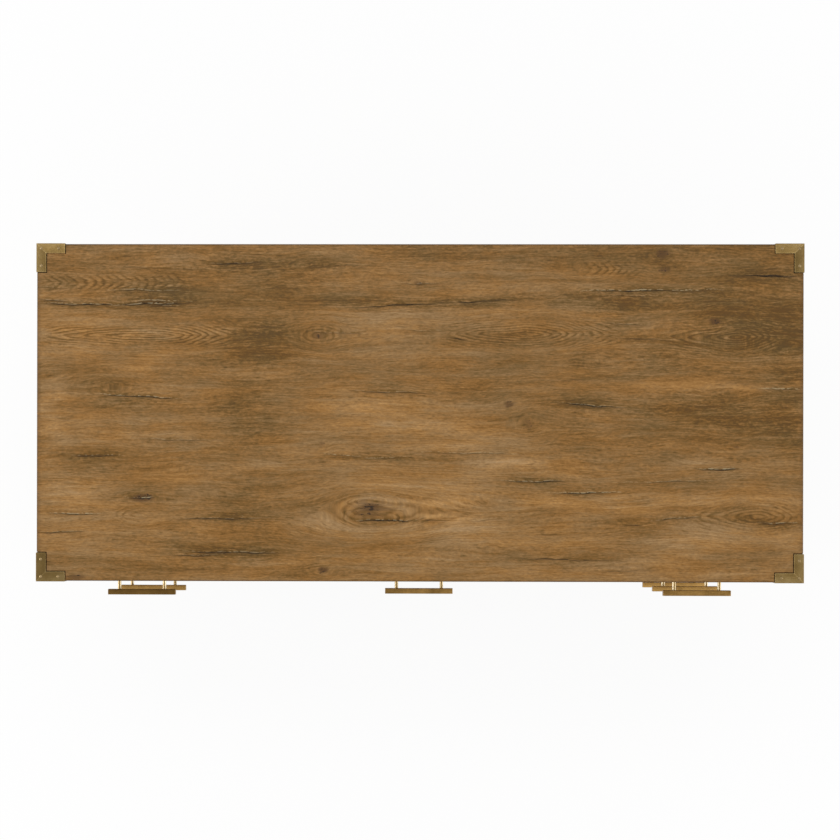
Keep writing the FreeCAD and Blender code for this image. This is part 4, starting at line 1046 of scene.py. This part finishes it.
slotOf = {row["node"]: row["material_slot"] for row in frame["record"]["subparts"]}
uprightNodes = ("outer_side", "inner_side", "legs", "back_panel")
finishes = {
    "drawer_birch": lacqueredBirch("lacqueredBirch"),
    "zinc_steel": zincSteel("zincSteel"),
    "beech": plainBeech("plainBeech"),
    "nylon": mouldedNylon("mouldedNylon"),
    "antique_brass": antiqueBrass("antiqueBrassCaps", "bar", noisePlace["caps"]),
}
for number, (name, node) in enumerate(sorted(frame["nodes"].items())):
    slot = slotOf[name]
    if slot == "weathered_oak":
        grain = "z" if name.endswith(uprightNodes) else "y" if name.endswith("base_panel") else "x"
        whole = not name.endswith(("legs", "rails"))
        board = [list(corner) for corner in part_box(name)] if whole else None
        finish = weatheredOak("weatheredOak." + name, grain, noisePlace["boardStep"] * number, board)
    else:
        finish = finishes[slot]
    for place in node.material_slots:
        place.material = finish
print("carried nodes finished")

# floor, light and camera

stageLook = {
    "floorHalf": 30.0,  # metres
    "floorDrop": 0.2,  # mm below the glides
    "floorColour": "#f4f4f4",
    "paperLayer": {"fibres": (4, 4, 0.0, 2.0, 0.5)},  # real paper fibres are far finer
    "paperBump": 0.02,
    "fade": (0.8, 2.4, 0.92, 1.0),  # metres from the middle, and the share of white there and beyond
    "sky": 0.42,  # its strength as a light
}


def seen(put):  # 1 for rays that show the background: from the camera, off metal, through glass
    rays = put("LightPath").node.outputs
    first = put("Math MAXIMUM", (rays["Is Camera Ray"], rays["Is Glossy Ray"]))
    return put("Math MAXIMUM", (first, rays["Is Transmission Ray"]))


def paleFloor():
    # matt white studio paper: shows white to the camera, and near the desk it takes the desk's shadow
    look = stageLook
    half, drop = look["floorHalf"], -look["floorDrop"] * mm
    mesh = bpy.data.meshes.new("studioFloor")
    corners = [(-half, -half, drop), (half, -half, drop), (half, half, drop), (-half, half, drop)]
    mesh.from_pydata(corners, [], [(0, 1, 2, 3)])
    material, put, coords = newMaterial("studioPaper")
    fibres = noises(put, coords, look["paperLayer"])["fibres"]
    bump = put("Bump", {"Strength": look["paperBump"], "Height": fibres})
    paper = put("BsdfDiffuse", {"Color": look["floorColour"], "Normal": bump})
    glow = put("Emission", {"Color": (1, 1, 1, 1), "Strength": 1.0})
    distance = put("VectorMath LENGTH", (coords,), out="Value")
    white = put("MapRange", (distance, *look["fade"]), **smooth)
    share = put("Math MULTIPLY", (seen(put), white))
    put("OutputMaterial", (put("MixShader", (share, paper, glow)),))
    mesh.materials.append(material)
    placed("studioFloor", mesh)


def paleSky():  # white where it is seen, softer as a light
    world = bpy.data.worlds.new("studioSky")
    put = emptied(world)
    level = put("MapRange", (seen(put), 0.0, 1.0, stageLook["sky"], 1.0))
    put("OutputWorld", (put("Background", {"Color": (1, 1, 1, 1), "Strength": level}),))
    bpy.context.scene.world = world


lamps = {  # place and aim in metres, width, height, watts
    "keyLamp": ((-0.15, 1.9, 4.7), (-0.1, 0.2, 0.7), 3.9, 1.1, 60.0),
    "fillLamp": ((2.6, -1.6, 4.3), (0, -0.2, 0.6), 1.6, 1.6, 14.0),
    "leftLamp": ((-4.6, -0.6, 2.0), (0, -0.3, 0.6), 3.0, 3.6, 150.0),
    "rightLamp": ((4.7, -0.8, 1.8), (0, -0.3, 0.6), 3.0, 3.2, 90.0),
}


def areaLamp(name, place, aim, width, height, watts):
    data = bpy.data.lights.new(name, "AREA")
    data.shape = "RECTANGLE"
    data.size, data.size_y, data.energy = width, height, watts
    lamp = placed(name, data)
    lamp.location = place
    away = Vector(place) - Vector(aim)
    lamp.rotation_euler = away.to_track_quat("Z", "Y").to_euler()
    lamp.visible_camera = False


cameraLook = {  # mm and degrees, the shift in widths of the frame
    "place": (-4.8, -155.0, 4054.0),
    "lean": 0.57,
    "roll": 0.110,
    "lens": 64.54,
    "shift": (0.02155, 0.0856),
    "farthest": 200000,
}


def overheadCamera():  # straight down on the top, the desk's back towards the upper edge of the frame
    look = cameraLook
    data = bpy.data.cameras.new("overhead")
    data.lens = look["lens"]
    data.shift_x, data.shift_y = look["shift"]
    data.clip_end = look["farthest"] * mm
    camera = placed("overhead", data)
    camera.location = [place * mm for place in look["place"]]
    camera.rotation_euler = (0, math.radians(look["lean"]), math.radians(look["roll"]))
    bpy.context.scene.camera = camera


paleFloor()
paleSky()
for name, values in lamps.items():
    areaLamp(name, *values)
overheadCamera()
bpy.context.scene.view_settings.view_transform = "Standard"
print("stage done")
